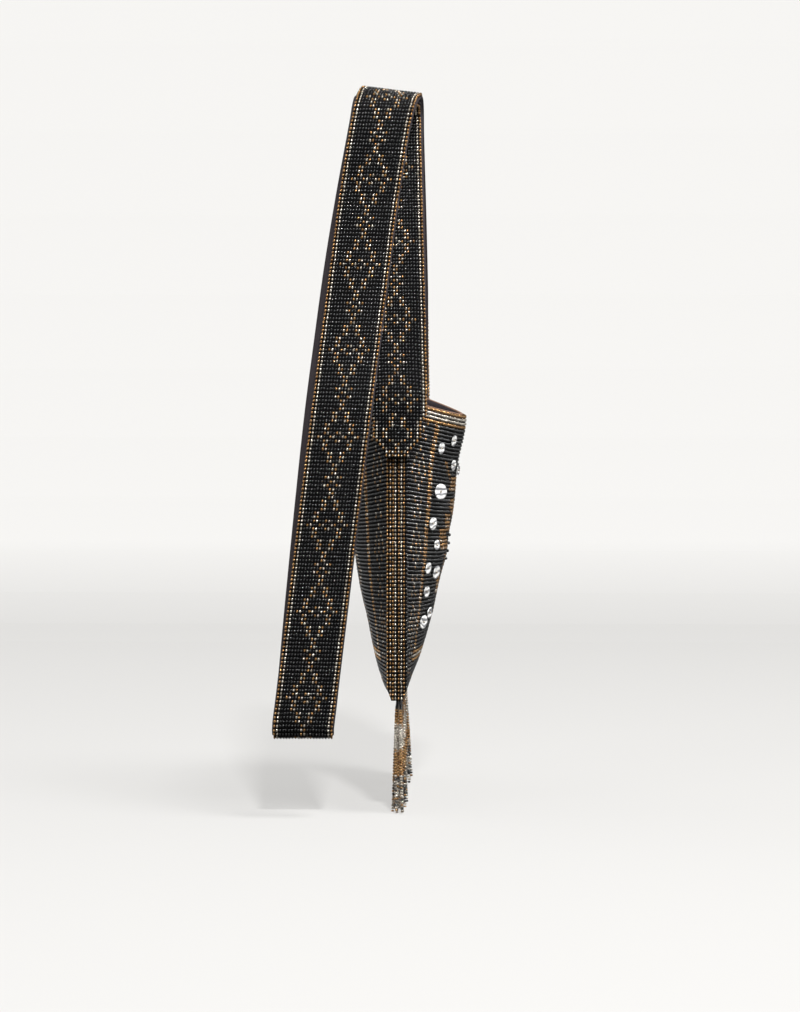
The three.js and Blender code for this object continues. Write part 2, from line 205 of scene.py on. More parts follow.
finishes = {  # each bead has its own tone between dark and light, and dull and smooth
    "black": {"slot": "black_beads", "dark": (0.0006, 0.0006, 0.0008, 1), "light": (0.002, 0.0018, 0.002, 1),
              "metallic": 0.0, "smooth": 0.08, "dull": 0.18, "coat": 0.0, "gloss": 0.95},
    "bronze": {"slot": "bronze_beads", "dark": (0.16, 0.07, 0.02, 1), "light": (0.5, 0.29, 0.115, 1),
               "metallic": 0.85, "smooth": 0.2, "dull": 0.32, "coat": 0.4, "gloss": 0.5},
    "silver": {"slot": "silver_beads", "dark": (0.24, 0.205, 0.16, 1), "light": (0.74, 0.69, 0.61, 1),
               "metallic": 0.8, "smooth": 0.18, "dull": 0.3, "coat": 0.4, "gloss": 0.5},
}
names = list(finishes)  # a chart's number is the place in this list


def beadFinish(name, look):
    recipe = Recipe(name + "Beads")
    tone = recipe.node("ShaderNodeAttribute", {"attribute_name": "tone"}, output=2)
    return recipe.finish({
        "Base Color": recipe.mix(tone, look["dark"], look["light"]),
        "Roughness": look["dull"] - (look["dull"] - look["smooth"]) * tone,
        "Metallic": look["metallic"],
        "Coat Weight": look["coat"],
        "Coat Roughness": 0.08,
        "Specular IOR Level": look["gloss"],
    })


cloth = {"dark": (0.012, 0.0095, 0.0115, 1), "light": (0.042, 0.034, 0.038, 1), "thread": 0.55, "bump": 0.35}
twist = {"dark": (0.1, 0.05, 0.03, 1), "light": (0.32, 0.19, 0.13, 1), "pitch": 1.4, "gloss": 0.4}
# black thread for the sheets under the beads, darkened below real black thread, so that the gaps between
# beads show painted shade
warpAndGapShade = {"dark": (0.0008, 0.0007, 0.0008, 1), "light": (0.0035, 0.003, 0.0033, 1), "pitch": 0.9, "gloss": 0.05}
# pearly white paillettes; the dark colour and the ripple bands are painted shine and shade, not the disc's
# own colour
pearlAndPaintedShine = {"dark": (0.2, 0.2, 0.21, 1), "light": (0.97, 0.965, 0.95, 1), "bands": 90.0, "waviness": 9.0,
         "from": 0.18, "to": 0.62}


def clothFinish(name, look):  # a plain weave read from the cloth's own UV map, which is in metres
    recipe = Recipe(name)
    place = recipe.node("ShaderNodeUVMap", {"uv_map": "UVMap"})
    turns = 2 * math.pi / (look["thread"] * mm)

    def wave(axis):
        part = recipe.node("ShaderNodeSeparateXYZ", None, {0: place}, axis)
        return recipe.node("ShaderNodeMath", {"operation": "SINE"}, {0: part * turns})

    weave = wave(0) * wave(1) * 0.5 + 0.5
    cloudy = recipe.node("ShaderNodeTexNoise", None, {"Vector": place, "Scale": 60.0, "Detail": 3.0})
    height = recipe.node("ShaderNodeBump", None, {"Height": weave, "Strength": look["bump"],
                                                  "Distance": 0.0002})
    return recipe.finish({
        "Base Color": recipe.mix(weave * 0.55 + cloudy * 0.45, look["dark"], look["light"]),
        "Roughness": 0.92 - cloudy * 0.14,
        "Normal": height,
        "Specular IOR Level": 0.2,
    })


def threadFinish(name, look):  # fine twisted thread, read from the piece's UV map
    recipe = Recipe(name)
    place = recipe.node("ShaderNodeUVMap", {"uv_map": "UVMap"})
    across = recipe.node("ShaderNodeSeparateXYZ", None, {0: place}, 0)
    along = recipe.node("ShaderNodeSeparateXYZ", None, {0: place}, 1)
    turns = 2 * math.pi / (look["pitch"] * mm)
    slant = (along + across * 0.6) * turns
    strand = recipe.node("ShaderNodeMath", {"operation": "SINE"}, {0: slant}) * 0.5 + 0.5
    fuzz = recipe.node("ShaderNodeTexNoise", None, {"Vector": place, "Scale": 400.0, "Detail": 2.0})
    height = recipe.node("ShaderNodeBump", None, {"Height": strand, "Strength": 0.5, "Distance": 0.0002})
    return recipe.finish({
        "Base Color": recipe.mix(strand * 0.6 + fuzz * 0.4, look["dark"], look["light"]),
        "Roughness": 0.7 + fuzz * 0.2,
        "Specular IOR Level": look["gloss"],
        "Normal": height,
    })


def pailletteWithPaintedShine(look):  # painted shine: light and dark ripples in the base colour stand in for the reflections and shade on a cupped disc
    recipe = Recipe("pearlyPailletteAndPaintedShine")
    place = recipe.node("ShaderNodeTexCoord", None, None, 3)
    bands = recipe.node("ShaderNodeTexWave", {"bands_direction": "Z"}, {
        "Vector": place, "Scale": look["bands"], "Distortion": look["waviness"], "Detail": 2.0}, 1)
    # the ripple sets painted reflections and shade into the base colour
    ripple = recipe.node("ShaderNodeMapRange", None, {0: bands, 1: look["from"], 2: look["to"]})
    return recipe.finish({
        "Base Color": recipe.mix(ripple, look["dark"], look["light"]),
        "Roughness": 0.3 - ripple * 0.15,
        "Metallic": 0.1,
        "Coat Weight": 0.8,
    })


beadPaint = {name: beadFinish(name, look) for name, look in finishes.items()}
clothPaint = clothFinish("plumCloth", cloth)
threadPaint = threadFinish("brownThread", twist)
# the thread sheets' material: black thread and the painted shade between the beads
threadWithPaintedGapShade = threadFinish("blackThreadPaintedGapShade", warpAndGapShade)
# the paillettes' material: pearly white with painted shine and shade
pearlAndPaintedShinePaint = pailletteWithPaintedShine(pearlAndPaintedShine)
print("materials ready")


# Beads: one barrel shape repeated into one mesh for each finish

bead = {"long": 1.52, "thick": 2.1, "sides": 6, "ring": 0.5, "tip": 0.92, "share": 0.87,
        "jitter": 0.06, "tilt": 0.05, "grow": 0.03}


def beadShape():
    bm = bmesh.new()
    bmesh.ops.create_cone(bm, cap_ends=True, cap_tris=True, segments=bead["sides"], radius1=0.5, radius2=0.5,
                          depth=bead["ring"])
    for vert in bm.verts:
        if vert.co.xy.length < 0.1:  # the middles of the two ends stand out
            vert.co.z *= bead["tip"] / bead["ring"]
    bmesh.ops.rotate(bm, verts=bm.verts, cent=(0, 0, 0), matrix=Matrix.Rotation(math.pi / 2, 3, "Y"))
    bmesh.ops.recalc_face_normals(bm, faces=bm.faces)
    return takeShape(bm)


def takeShape(bm):  # corner places, and the faces' corner lists laid end to end
    bm.verts.index_update()
    corners = np.array([vert.co[:] for vert in bm.verts])
    loops = np.array([vert.index for face in bm.faces for vert in face.verts])
    sizes = np.array([len(face.verts) for face in bm.faces])
    bm.free()
    return corners, loops, sizes


def repeatShape(name, shape, at, axes, paint, tone=None):
    corners, loops, sizes = shape
    count = len(at)
    spread = np.einsum("kj,nji->nki", corners, np.stack(axes, 1)) + at[:, None, :]
    mesh = bpy.data.meshes.new(name)
    mesh.vertices.add(count * len(corners))
    mesh.vertices.foreach_set("co", (spread * mm).ravel())
    mesh.loops.add(count * len(loops))
    mesh.loops.foreach_set("vertex_index", (loops[None] + np.arange(count)[:, None] * len(corners)).ravel())
    starts = np.concatenate([[0], np.cumsum(sizes)[:-1]])
    mesh.polygons.add(count * len(sizes))
    mesh.polygons.foreach_set("loop_start", (starts[None] + np.arange(count)[:, None] * len(loops)).ravel())
    mesh.update(calc_edges=True)
    mesh.shade_smooth()
    if tone is not None:
        mesh.attributes.new("tone", "FLOAT", "POINT").data.foreach_set("value", np.repeat(tone, len(corners)))
    mesh.materials.append(paint)
    piece = bpy.data.objects.new(name, mesh)
    bpy.context.collection.objects.link(piece)
    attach(piece, "root")
    return piece


beadForm = beadShape()


def unit(vectors):
    return vectors / np.linalg.norm(vectors, axis=-1, keepdims=True)


def layBeads(prefix, at, hole, down, out, colours, sizes, node):  # one piece for each finish that is used
    jitter = dice.normal(0, bead["jitter"], at.shape)
    tilt = dice.normal(0, bead["tilt"], (len(at), 1))
    grow = 1 + dice.normal(0, bead["grow"], (len(at), 1))
    tone = np.clip(dice.beta(2, 2, len(at)), 0, 1)
    across = unit(hole + tilt * down)
    along = unit(np.cross(out, across))
    face = np.cross(across, along)
    axes = (across * sizes[0] * grow, along * sizes[1] * grow, face * sizes[2])
    for number, name in enumerate(names):
        pick = colours == number
        if pick.any():
            piece = repeatShape(prefix + name.capitalize(), beadForm, (at + jitter)[pick],
                                [axis[pick] for axis in axes], beadPaint[name], tone[pick])
            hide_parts(node)
    print(prefix, "beads:", len(at), "triangles:", len(at) * int((beadForm[2] - 2).sum()))


def sheetPiece(name, columns, rows, size, place, thickness, paint, slot, node, closed=False):
    bm = bmesh.new()
    uv = bm.loops.layers.uv.new("UVMap")
    bmesh.ops.create_grid(bm, x_segments=columns, y_segments=rows, size=0.5)
    for face in bm.faces:
        for loop in face.loops:
            loop[uv].uv = ((loop.vert.co.x + 0.5) * size[0] * mm, (loop.vert.co.y + 0.5) * size[1] * mm)
    shares = np.array([vert.co[:] for vert in bm.verts]) + 0.5
    for vert, spot in zip(bm.verts, place(shares[:, 0], shares[:, 1]) * mm):
        vert.co = spot
    if closed:
        bmesh.ops.remove_doubles(bm, verts=bm.verts, dist=0.00002)
    bmesh.ops.recalc_face_normals(bm, faces=bm.faces)
    mesh = bpy.data.meshes.new(name)
    bm.to_mesh(mesh)
    bm.free()
    mesh.shade_smooth()
    mesh.materials.append(paint)
    piece = bpy.data.objects.new(name, mesh)
    bpy.context.collection.objects.link(piece)
    if thickness:
        wall = piece.modifiers.new("wall", "SOLIDIFY")
        wall.thickness = thickness * mm
        wall.offset = 0.0
    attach(piece, "root")
    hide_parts(node)
    return piece


def curveThrough(keys, values, at):  # a smooth curve through the rows of a table
    at = np.clip(at, keys[0], keys[-1])
    last = len(keys) - 1
    i = np.clip(np.searchsorted(keys, at, side="left") - 1, 0, last - 1)

    def slope(j):
        low = np.maximum(j - 1, 0)
        high = np.minimum(j + 1, last)
        return (values[high] - values[low]) / (keys[high] - keys[low])

    width = keys[i + 1] - keys[i]
    s = (at - keys[i]) / width
    h1 = s * s * (3 - 2 * s)
    h2 = s * (1 - s) * (1 - s)
    h3 = s * s * (s - 1)
    return values[i] * (1 - h1) + values[i + 1] * h1 + width * (h2 * slope(i) + h3 * slope(i + 1))


def smoothStep(x, low, high):
    t = np.clip((x - low) / (high - low), 0, 1)
    return t * t * (3 - 2 * t)


# The pouch's form, as the frame has it

pouch = {"width": 190.0, "height": 176.7, "rimDepth": 183.5, "rimDip": 10.9, "offset": 22.0, "gusset": 12.3,
         "flare": 2.4, "flareStart": 0.8, "crease": 1.2, "tuck": 7.0, "frontBulge": 34.7, "backBulge": 27.0,
         "seamRound": 8.0, "bead": 2.2, "cloth": 1.0, "gap": 0.3, "headThickness": 2.4, "liningFloor": 8.3}
bulgeTable = np.array([  # height, front, back
    (0.0, 0.0, 0.06), (0.04, 0.045, 0.19), (0.12, 0.205, 0.35), (0.27, 0.417, 0.547), (0.34, 0.49, 0.655),
    (0.42, 0.575, 0.75), (0.5, 0.68, 0.82), (0.57, 0.715, 0.865), (0.65, 0.79, 0.9), (0.72, 0.83, 0.93),
    (0.8, 0.857, 0.95), (0.88, 0.897, 0.97), (0.95, 0.94, 0.99), (1.0, 0.96, 1.0)])
bottomZ = -pouch["rimDepth"] - pouch["height"]
wall = pouch["bead"] + pouch["gap"]
seamHalf = pouch["headThickness"] / 2 + wall


def sideHalf(height):
    return pouch["width"] / 2 - pouch["tuck"] * np.minimum(height, 1) ** 2


def edgeHalf(height):
    low = smoothStep(height * pouch["height"], 0, pouch["seamRound"])
    high = smoothStep(height, pouch["flareStart"], 1)
    return seamHalf + (pouch["gusset"] / 2 - seamHalf) * low + pouch["flare"] * high


def pouchPoint(side, across, height, inset=0.0, sideInset=wall):  # side is -1 in front and 1 behind
    x = pouch["offset"] + across * (sideHalf(height) - sideInset)
    column, bulge = (1, pouch["frontBulge"]) if side < 0 else (2, pouch["backBulge"])
    rise = bulge * curveThrough(bulgeTable[:, 0], bulgeTable[:, column], height)
    y = side * (edgeHalf(height) + rise * (1 - across * across) - inset)
    z = bottomZ + height * (pouch["height"] - pouch["rimDip"] * (1 - across * across))
    return np.stack([x, y, z], -1)


panel = {"columns": 108, "rows": 75, "top": 1.02, "spacingHeight": 0.6, "step": 0.002, "drawn": 0.033,
         "drawnFrom": 0.6, "fill": 0.93}
mat = {"across": 40, "narrow": 8, "up": 48, "thick": 0.5}  # the threads that the beads sit on: one near-black sheet, which also gives the painted shade in the gaps between beads


def evenColumns(side):  # column places with equal spacing along the cloth
    fine = np.linspace(-1, 1, 401)
    line = pouchPoint(side, fine, np.full(len(fine), panel["spacingHeight"]))
    travelled = np.concatenate([[0], np.cumsum(np.linalg.norm(np.diff(line, axis=0), axis=1))])
    centres = (np.arange(panel["columns"]) + 0.5) / panel["columns"] * travelled[-1]
    return np.interp(centres, travelled, fine), travelled[-1] / panel["columns"]


# Charts: 0 is black, 1 is bronze and 2 is silver

border = {"frameColumn": (14, 17), "frameWide": 3, "frameSilver": 0.22, "rim": (1, 2, 2, 1), "bandRow": 9,
          "band": (1, 2, 1), "bandPast": 2, "edge": 3, "chainColumn": 7, "chainTop": 10, "chainRepeat": 20,
          "chainLow": 5, "dotRows": 5, "dotColumn": 20}
chain = {  # rows of the side chain down from its top, and the columns that are marked in each
    0: (0,), 2: (-2, 2), 4: (-3, 0, 3), 6: (-4, 0, 4), 8: (-2, 2), 10: (0,), 13: (-2, 2), 15: (0,),
    17: (-2, 2)}
zigzag = {"repeat": 16, "slope": 1.5, "bronze": 6, "silver": 9, "reach": 0.8}
spray = {
    "reach": 0.8, "rowStretch": 1.33,  # half a stroke's width in columns, and a row's height in columns
    "strokes": [  # stalks as (column, row) points from the near edge
        [(27.6, 61.2), (29.7, 59.9), (32.1, 58.7), (34.2, 57.4)],
        [(53.5, 60), (53.5, 18)],
        [(53.5, 30), (48, 33), (44, 36)],
    ],
    "blades": [  # each blade as (row, first column, last column) from its low end up
        [(53.2, 51, 53.9), (54, 35, 53.9), (56.5, 35.5, 53.9), (57.4, 38, 50)],
        [(46, 51.4, 53.9), (48.5, 39.5, 53.9), (49.4, 38.5, 53.9), (51.1, 37.6, 46)],
        [(42.4, 36.5, 50.7), (47.7, 31.8, 40.4)],
        [(37.5, 33, 52), (43.9, 27.8, 34.4)],
        [(26, 40, 50), (32, 36, 42)],
    ],
}


def inStroke(column, row, points):
    near = np.full(column.shape, np.inf)
    for (c0, r0), (c1, r1) in zip(points[:-1], points[1:]):
        dc, dr = c1 - c0, (r1 - r0) * spray["rowStretch"]
        pc, pr = column - c0, (row - r0) * spray["rowStretch"]
        t = np.clip((pc * dc + pr * dr) / (dc * dc + dr * dr), 0, 1)
        near = np.minimum(near, np.hypot(pc - t * dc, pr - t * dr))
    return near < spray["reach"]


def panelChart(side, column, row):
    mirrored = np.minimum(column, panel["columns"] - 1 - column)
    colours = np.zeros(column.shape, int)
    frameColumn = border["frameColumn"][int(side > 0)]
    fromTop = panel["rows"] - 1 - row
    # the chain of small chevrons along each side
    for step, offsets in chain.items():
        for offset in offsets:
            below = (fromTop - border["chainTop"] - step) % border["chainRepeat"]
            here = (mirrored == border["chainColumn"] + offset) & (row >= border["chainLow"])
            colours[(below == 0) & here] = 2
            colours[(below == 1) & here] = 1
    colours[mirrored < border["edge"]] = 0
    # the leaf spray on the front and two zigzags on the back, inside the frame lines
    inner = mirrored > frameColumn + border["frameWide"]
    if side < 0:
        for points in spray["strokes"]:
            colours[inner & inStroke(mirrored, row, points)] = 1
        for blade in spray["blades"]:
            rows, low, high = np.array(blade, float).T
            within = (row >= rows[0]) & (row <= rows[-1]) & (mirrored >= np.interp(row, rows, low))
            within &= inner & (mirrored <= np.interp(row, rows, high))
            colours[within] = 1
            colours[within & (mirrored % 4 == 1) & (row % 2 == 0)] = 2
    else:
        offset = np.abs(column - (panel["columns"] - 1) / 2)
        wave = np.abs((row % zigzag["repeat"]) - zigzag["repeat"] // 2) * zigzag["slope"]
        colours[inner & (np.abs(offset - zigzag["bronze"] - wave) < zigzag["reach"])] = 1
        colours[inner & (np.abs(offset - zigzag["silver"] - wave) < zigzag["reach"])] = 2
    frameLine = (mirrored >= frameColumn) & (mirrored < frameColumn + border["frameWide"])
    frameLine &= row >= border["bandRow"]
    colours[frameLine] = 1
    colours[frameLine & (dice.random(column.shape) < border["frameSilver"])] = 2
    # bands along the rim and above the bottom edge
    for step, colour in enumerate(border["rim"]):
        colours[fromTop == step] = colour
    for step, colour in enumerate(border["band"]):
        colours[(row == border["bandRow"] + step) & (mirrored >= frameColumn - border["bandPast"])] = colour
    dots = (row > 0) & (row < border["dotRows"]) & (mirrored > border["dotColumn"])
    colours[dots] = np.array([1, 2, 0])[(mirrored + row) % 3][dots]
    return colours


def makePanel(side, prefix, node):
    places, pitch = evenColumns(side)
    column, row = np.meshgrid(np.arange(panel["columns"]), np.arange(panel["rows"]), indexing="ij")
    column, row = column.ravel(), row.ravel()
    height = (row + 0.5) / panel["rows"] * panel["top"]
    across = places[column]
    # the columns draw together towards the mouth
    drawn = panel["drawn"] * np.clip((height - panel["drawnFrom"]) / (1 - panel["drawnFrom"]), 0, 1)
    across = across - np.sign(across) * drawn * 4 * np.abs(across) * (1 - np.abs(across))
    small = panel["step"]
    at = pouchPoint(side, across, height, pouch["bead"] / 2)
    hole = unit(pouchPoint(side, across + small, height) - pouchPoint(side, across - small, height))
    up = unit(pouchPoint(side, across, height + small) - pouchPoint(side, across, height - small))
    out = unit(np.cross(hole, up)) * -side
    colours = panelChart(side, column, row)
    sizes = (pitch * panel["fill"], pouch["height"] * panel["top"] / panel["rows"] * bead["share"],
             bead["thick"])
    layBeads(prefix, at, hole, up, out, colours, sizes, node)

    def place(u, v):
        return pouchPoint(side, u * 2 - 1, v, pouch["bead"] / 2)

    # a near-black thread sheet under the panel's beads, partly thread and partly painted shade in the gaps
    sheetPiece(prefix + "Thread", mat["across"], mat["up"], (pouch["width"], pouch["height"]), place,
               mat["thick"], threadWithPaintedGapShade, "bead_thread", node)


makePanel(-1, "front", "front_panel")
makePanel(1, "back", "back_panel")
print("panels made")


# The narrow side strips

gusset = {"places": (-5.75, -4.2, -2.7, -1.2, 1.2, 2.6, 4.1, 5.85), "colours": (0, 1, 2, 1, 2, 1, 1, 1),
          "mixed": 6, "long": 1.34, "step": 0.2, "margin": 0.3, "mat": 0.96}


def gussetPoint(end, y, height, inset=0.0):
    crease = pouch["crease"] * np.maximum(0, 1 - 2 * np.abs(y) / edgeHalf(height))
    x = pouch["offset"] + end * (sideHalf(height) - inset - crease)
    return np.stack([x, y, bottomZ + height * pouch["height"]], -1)


def makeGusset(end, prefix, node):
    column, row = np.meshgrid(np.arange(len(gusset["places"])), np.arange(panel["rows"]), indexing="ij")
    column, row = column.ravel(), row.ravel()
    height = (row + 0.5) / panel["rows"]
    wide = np.maximum(1, 2 * edgeHalf(height) / pouch["gusset"])
    y = np.array(gusset["places"])[column] * wide
    keep = np.abs(y) < edgeHalf(height) - gusset["margin"]
    column, row, height, y = column[keep], row[keep], height[keep], y[keep]
    step, small = gusset["step"], panel["step"]
    at = gussetPoint(end, y, height, pouch["bead"] / 2)
    hole = unit(gussetPoint(end, y + step, height) - gussetPoint(end, y - step, height))
    up = unit(gussetPoint(end, y, height + small) - gussetPoint(end, y, height - small))
    out = unit(np.cross(hole, up)) * end
    colours = np.array(gusset["colours"])[column]
    colours[(column == gusset["mixed"]) & (row % 2 == 0)] = 2
    sizes = (gusset["long"], pouch["height"] / panel["rows"] * bead["share"], bead["thick"])
    layBeads(prefix, at, hole, up, out, colours, sizes, node)

    def place(u, v):
        return gussetPoint(end, (u * 2 - 1) * edgeHalf(v) * gusset["mat"], v, pouch["bead"] / 2)

    # a near-black thread sheet under the side strip's beads, partly thread and partly painted shade in the
    # gaps
    sheetPiece(prefix + "Thread", mat["narrow"], mat["up"], (pouch["gusset"], pouch["height"]), place,
               mat["thick"], threadWithPaintedGapShade, "bead_thread", node)


makeGusset(-1, "nearGusset", "side_gusset_near")
makeGusset(1, "farGusset", "side_gusset_far")
print("gussets made")


# The strap: one band through its stations, as the frame has it

strap = {"width": 35.2, "lining": 36.0, "overlap": 30.7, "rise": 7.0, "hookBend": 8.4, "hookShift": 2.0,
         "frontBend": 14.4, "archSpan": 24.0, "outerFrontBend": 20.0, "outerFrontShift": 2.4,
         "outerBackBend": 14.4, "outerBackShift": 4.2, "bandGap": 2.0, "lowerFoldBend": 4.6,
         "foldDrop": 379.7, "foldLean": 0.1212, "foldStart": 10.6, "foldTurn": 2.0, "cup": 6.5,
         "cupTouch": 0.55, "columns": 20, "pitch": 1.76, "rowPitch": 2.37, "endRoom": 0.3, "clothRoom": 0.4,
         "clothColumns": 10, "clothStep": 3, "clothThick": 0.8, "clothOff": -0.55, "matOff": 1.25,
         "matShare": 0.97}
foldTable = [  # depth, below, inner, outer, spread
    (0.33, 0.0, 0.62, 0.73, 0.05), (0.55, 0.0, 0.77, 0.88, 0.09), (0.8, 0.0, 0.95, 1.05, 0.1),
    (1.0, 0.02, 1.11, 1.2, 0.1), (1.0, 0.25, 1.18, 1.27, 0.08), (1.0, 0.6, 1.2, 1.29, 0.04),
    (1.0, 0.88, 1.19, 1.3, 0.0)]
bendTable = {  # steps, shift in, shift out, turn in, turn out, bank
    "hook": (4, 0.097, 0.136, 18, 6, 4), "front": (3, 0.22, 0.31, 0, 0, 6),
    "outerFront": (3, 0.3, 0.12, 0, 0, 7.5), "outerBack": (2, 0.102, 0.091, 0, 4, 5.5)}
runTable = [  # along, shift, near turn, far turn, cup
    (0.0, 0.0, 4, 0, 0.8), (0.12, 0.015, 9, 0, 0.55), (0.36, 0.03, 13, 2, 0.12), (0.66, 0.06, 17, 4, 0.05),
    (0.92, 0.09, 18, 4, 0.05)]


def strapStations():
    rim = pouch["rimDepth"]
    wide = strap["width"]
    stand = pouch["gap"] * 1.5 + pouch["cloth"] + strap["cup"] * strap["cupTouch"] ** 4
    stations = []

    def add(x, z, shift, turn, bank, cup):
        stations.append((x, z, shift, turn, bank, cup))

    def seamX(end, z):
        return pouch["offset"] + end * (sideHalf((z - bottomZ) / pouch["height"]) + stand)

    def onBend(bend, angle):
        a = math.radians(angle)
        return bend[0] + bend[2] * math.cos(a), bend[1] + bend[2] * math.sin(a)

    def arc(bend, start, stop, row):
        steps, shiftIn, shiftOut, turnIn, turnOut, bank = row
        for i in range(steps + 1):
            t = i / steps
            x, z = onBend(bend, start + (stop - start) * t)
            add(x, z, (shiftIn + (shiftOut - shiftIn) * t) * wide, turnIn + (turnOut - turnIn) * t, bank, 0)

    def leave(bend, start):
        dx, dz = start[0] - bend[0], start[1] - bend[1]
        return math.degrees(math.atan2(dz, dx) + math.acos(bend[2] / math.hypot(dx, dz)))

    def run(start, stop, rows, turn):
        for row in rows:
            add(start[0] + (stop[0] - start[0]) * row[0], start[1] + (stop[1] - start[1]) * row[0],
                row[1] * wide, row[turn], 0, row[4] * strap["cup"])

    seamZ = [-rim - strap["overlap"], -rim - strap["overlap"] / 2]
    innerTop = pouch["bead"] + pouch["gap"] / 2
    hook = (strap["hookShift"], innerTop - strap["hookBend"], strap["hookBend"])
    nearStart = (seamX(-1, -rim), -rim + strap["rise"])
    nearAngle = leave(hook, nearStart)
    for z in seamZ:
        add(seamX(-1, z), z, 0, 0, 0, strap["cup"])
    run(nearStart, onBend(hook, nearAngle), runTable, 2)
    arc(hook, nearAngle, 90, bendTable["hook"])
    front = (hook[0] - strap["archSpan"], innerTop - strap["frontBend"], strap["frontBend"])
    arc(front, 90, 180, bendTable["front"])
    reach = -nearStart[0]
    drop = strap["foldDrop"]

    def foldZ(row):
        return -(row[0] * rim + row[1] * (drop - rim))

    def lean(z):
        return strap["foldStart"] - strap["foldLean"] * z

    for row in foldTable:
        z = foldZ(row)
        add(-row[2] * reach, z, lean(z) + row[4] * wide, strap["foldTurn"], 0, 0)
    bend = strap["lowerFoldBend"]
    fold = (-(foldTable[-1][2] + foldTable[-1][3]) / 2 * reach, bend - drop, bend)
    arc(fold, 0, -180, (4, lean(fold[1]) / wide, lean(fold[1]) / wide, 0, 0, 0))
    for row in reversed(foldTable):
        z = foldZ(row)
        add(-row[3] * reach, z, lean(z), 0, 0, 0)
    outerTop = innerTop + 2 * pouch["cloth"] + pouch["gap"] + strap["bandGap"]
    bend = strap["outerFrontBend"]
    arc((front[0] - strap["outerFrontShift"], outerTop - bend, bend), 180, 90, bendTable["outerFront"])
    bend = strap["outerBackBend"]
    back = (hook[0] + strap["outerBackShift"], outerTop - bend, bend)
    farStart = (seamX(1, -rim), -rim + strap["rise"])
    farAngle = leave(back, farStart)
    arc(back, 90, farAngle, bendTable["outerBack"])
    run(farStart, onBend(back, farAngle), runTable[::-1], 3)
    for z in reversed(seamZ):
        add(seamX(1, z), z, 0, 0, 0, strap["cup"])
    return np.array(stations, float)


def strapPath():  # places, tangents, directions across and outward normals at about every millimetre
    stations = strapStations()
    points = stations[:, [0, 2, 1]]
    padded = np.vstack([2 * points[0] - points[1], points, 2 * points[-1] - points[-2]])
    parts = []
    for i in range(len(points) - 1):
        x0, x1, x2, x3 = padded[i:i + 4]
        d0, d1, d2 = [((b - a) @ (b - a)) ** 0.25 for a, b in ((x0, x1), (x1, x2), (x2, x3))]
        t1 = ((x1 - x0) / d0 - (x2 - x0) / (d0 + d1) + (x2 - x1) / d1) * d1
        t2 = ((x2 - x1) / d1 - (x3 - x1) / (d1 + d2) + (x3 - x2) / d2) * d1
        count = max(2, round(np.linalg.norm(x2 - x1)))
        s = np.arange(count + (i == len(points) - 2))[:, None] / count
        c2 = -3 * x1 + 3 * x2 - 2 * t1 - t2
        c3 = 2 * x1 - 2 * x2 + t1 + t2
        at = x1 + t1 * s + c2 * s ** 2 + c3 * s ** 3
        tangent = unit(t1 + 2 * c2 * s + 3 * c3 * s ** 2)
        turn, bank = [np.radians(stations[i, k] * (1 - s) + stations[i + 1, k] * s) for k in (3, 4)]
        across = np.hstack([np.sin(turn), np.cos(turn), np.tan(bank)])
        across = unit(across - (across * tangent).sum(1, keepdims=True) * tangent)
        cup = stations[i, 5] * (1 - s) + stations[i + 1, 5] * s
        parts.append(np.hstack([at, tangent, across, np.cross(tangent, across), cup]))
    path = np.vstack(parts)
    travelled = np.concatenate([[0], np.cumsum(np.linalg.norm(np.diff(path[:, :3], axis=0), axis=1))])
    return path, travelled


path, travelled = strapPath()
strapLength = travelled[-1]
halfStrap = strap["width"] / 2


def strapFrame(distance):
    rows = np.stack([np.interp(distance, travelled, path[:, k]) for k in range(path.shape[1])], -1)
    return rows[:, :3], unit(rows[:, 3:6]), unit(rows[:, 6:9]), unit(rows[:, 9:12]), rows[:, 12]


endTable = np.array([  # distance from the strap's end, and how wide the strap is there as a share
    (0.0, 0.4), (3.9, 0.4), (6.1, 0.5), (8.4, 0.6), (10.6, 0.7), (12.8, 0.8), (21.8, 0.8), (24.0, 0.9),
    (26.2, 1.0)])


def endShare(distance):
    toEnd = np.minimum(distance, strapLength - distance)
    return np.interp(toEnd, endTable[:, 0], endTable[:, 1])


cupSteps = 40  # steps from the band's middle to its edge


def bandPoint(distance, arc, off):  # arc is the distance from the band's middle line, over the cupped sides
    at, tangent, across, normal, cup = strapFrame(distance)
    fine = np.linspace(0, 1, cupSteps + 1)
    slope = 4 * cup[:, None] * fine[None] ** 3 / halfStrap
    lengths = np.cumsum(np.sqrt(1 + slope ** 2), 1) / len(fine) * halfStrap
    lengths -= lengths[:, :1]
    index = np.clip((np.abs(arc)[:, None] > lengths).sum(1), 1, cupSteps)
    rows = np.arange(len(arc))
    low, high = lengths[rows, index - 1], lengths[rows, index]
    u = (index - 1 + (np.abs(arc) - low) / (high - low)) / cupSteps * np.sign(arc)
    tilt = 4 * cup * u ** 3 / halfStrap
    sideways = unit(across - normal * tilt[:, None])
    outward = unit(normal + across * tilt[:, None])
    spot = at + across * (u * halfStrap)[:, None] - normal * (cup * u ** 4)[:, None] + outward * off[:, None]
    return spot, sideways, tangent, outward


chevrons = {  # coloured pairs in each row of the 22-row repeat, by the pair's first column
    0: (3, 7, 11, 15), 1: (5, 9, 13), 2: (5, 13), 3: (5, 13), 4: (7, 11), 5: (7, 11), 6: (7, 11), 7: (9,),
    8: (9,), 9: (9,), 10: (7, 11), 11: (9,), 12: (7, 11), 13: (9,), 14: (9,), 15: (9,), 16: (7, 11),
    17: (7, 11), 18: (7, 11), 19: (5, 13), 20: (5, 13), 21: (5, 9, 13)}
swappedRows = (2, 5, 8, 12, 14, 17, 20)
